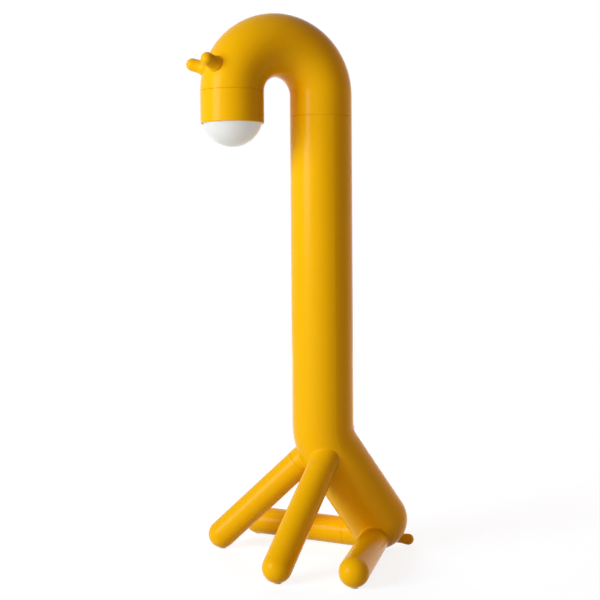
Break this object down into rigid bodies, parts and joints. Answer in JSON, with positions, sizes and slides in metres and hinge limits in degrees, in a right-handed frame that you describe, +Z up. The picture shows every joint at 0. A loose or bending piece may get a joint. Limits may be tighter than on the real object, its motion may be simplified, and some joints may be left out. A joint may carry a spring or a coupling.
{
  "type": "table lamp",
  "caption": "Table lamp in the shape of a sitting giraffe, made of round tubes, with a hooked neck, a turning head that holds a round light, and a tail that is its switch.",
  "frame": {"origin": "on the floor, under the centre of the round rump, at the middle of the rump pad's underside", "axes": "+Z up along the neck; +X towards the giraffe's own left; the giraffe looks along -Y, and its tail points along +Y"},
  "size_m": [0.2566, 0.2308, 0.5275],
  "materials": {
    "yellow_body": "satin",
    "white_diffuser": "satin",
    "clear_silicone": "satin",
    "brass_fitting": "satin",
    "steel_fitting": "satin",
    "aluminium_fitting": "satin",
    "black_plastic": "matte",
    "nylon_plastic": "matte",
    "board_plastic": "gloss",
    "led_phosphor": "satin",
    "white_plastic": "gloss",
    "lead_sheath": "matte",
    "cell_sleeve": "gloss"
  },
  "bodies": {
    "base": {"neck_and_body": "yellow_body", "front_left_leg": "yellow_body", "front_right_leg": "yellow_body", "hind_left_leg": "yellow_body", "hind_right_leg": "yellow_body", "leg_plugs": "black_plastic", "leg_studs": "steel_fitting", "leg_inserts": "brass_fitting", "foot_pads": "clear_silicone", "rump_pad": "clear_silicone", "neck_collar": "black_plastic", "neck_collar_screws": "steel_fitting", "stop_pin": "steel_fitting", "swivel_stem": "steel_fitting", "stem_nuts": "steel_fitting", "thrust_washer": "nylon_plastic", "tail_switch_housing": "black_plastic", "switch_terminals": "brass_fitting", "tail_spring": "steel_fitting", "charging_socket": "black_plastic", "electronics_tray": "black_plastic", "tray_screws": "steel_fitting", "battery_holder": "black_plastic", "battery_cell": "cell_sleeve", "control_board": "board_plastic", "board_screws": "steel_fitting", "terminal_block": "black_plastic", "charge_lead": "lead_sheath", "switch_lead": "lead_sheath", "stem_lead": "lead_sheath"},
    "tail": {"tail_button": "yellow_body", "switch_plunger": "nylon_plastic"},
    "bend": {"neck_bend": "yellow_body", "bend_collar": "black_plastic", "disc_spring": "steel_fitting", "left_horn": "yellow_body", "right_horn": "yellow_body", "horn_screws": "steel_fitting", "head_collar": "black_plastic", "head_collar_screws": "steel_fitting", "dimmer_bracket": "steel_fitting", "bracket_screws": "steel_fitting", "dimmer_body": "black_plastic", "bend_lead": "lead_sheath"},
    "head": {"head_shell": "yellow_body", "heat_sink_hub": "aluminium_fitting", "friction_washer": "nylon_plastic", "slide_washer": "nylon_plastic", "circlip": "steel_fitting", "dimmer_shaft": "steel_fitting", "led_board": "white_plastic", "led_chip": "led_phosphor", "reflector_ring": "white_plastic", "head_screws": "steel_fitting", "diffuser_dome": "white_diffuser", "dome_gasket": "clear_silicone"}
  },
  "joints": [
    {"name": "neck_swivel", "type": "hinge", "parent": "base", "child": "bend", "pos_m": [0, -0.06, 0.4308], "axis": [0, 0, 1], "range_deg": [-165, 165]},
    {"name": "head_twist", "type": "hinge", "parent": "bend", "child": "head", "pos_m": [0, -0.152, 0.452], "axis": [0, 0, 1], "range_deg": [0, 270]},
    {"name": "tail_press", "type": "slide", "parent": "base", "child": "tail", "axis": [0, -0.9781, 0.2079], "range_m": [0, 0.003], "stiffness_N_per_m": 400, "springref_m": -0.004, "deforming": ["tail_spring"]}
  ]
}
